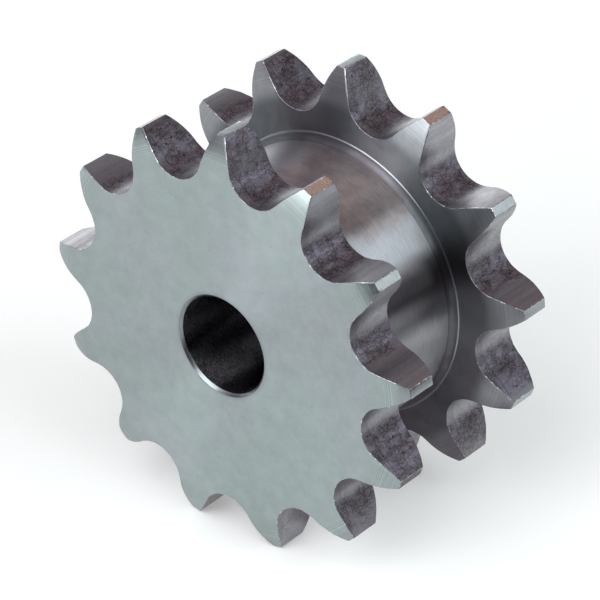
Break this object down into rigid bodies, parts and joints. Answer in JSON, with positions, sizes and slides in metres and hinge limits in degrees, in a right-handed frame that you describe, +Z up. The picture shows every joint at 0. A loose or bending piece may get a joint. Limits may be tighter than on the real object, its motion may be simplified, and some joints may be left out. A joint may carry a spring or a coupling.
{
  "type": "double single chain sprocket",
  "caption": "Double single roller chain sprocket: toothed rings at both ends of a plain barrel with a chamfered bore, for driving separate roller chains from one shaft.",
  "frame": {"origin": "middle of the bore, halfway between the two end faces", "axes": "+Y along the bore, away from the pictured end face; +Z up, with a tooth gap straight below the bore and a tooth straight above it"},
  "size_m": [0.0864, 0.0446, 0.0858],
  "materials": {
    "steel": "machined, with fine turning and cutter marks"
  },
  "bodies": {
    "root": {"double_sprocket": "steel"}
  },
  "joints": []
}
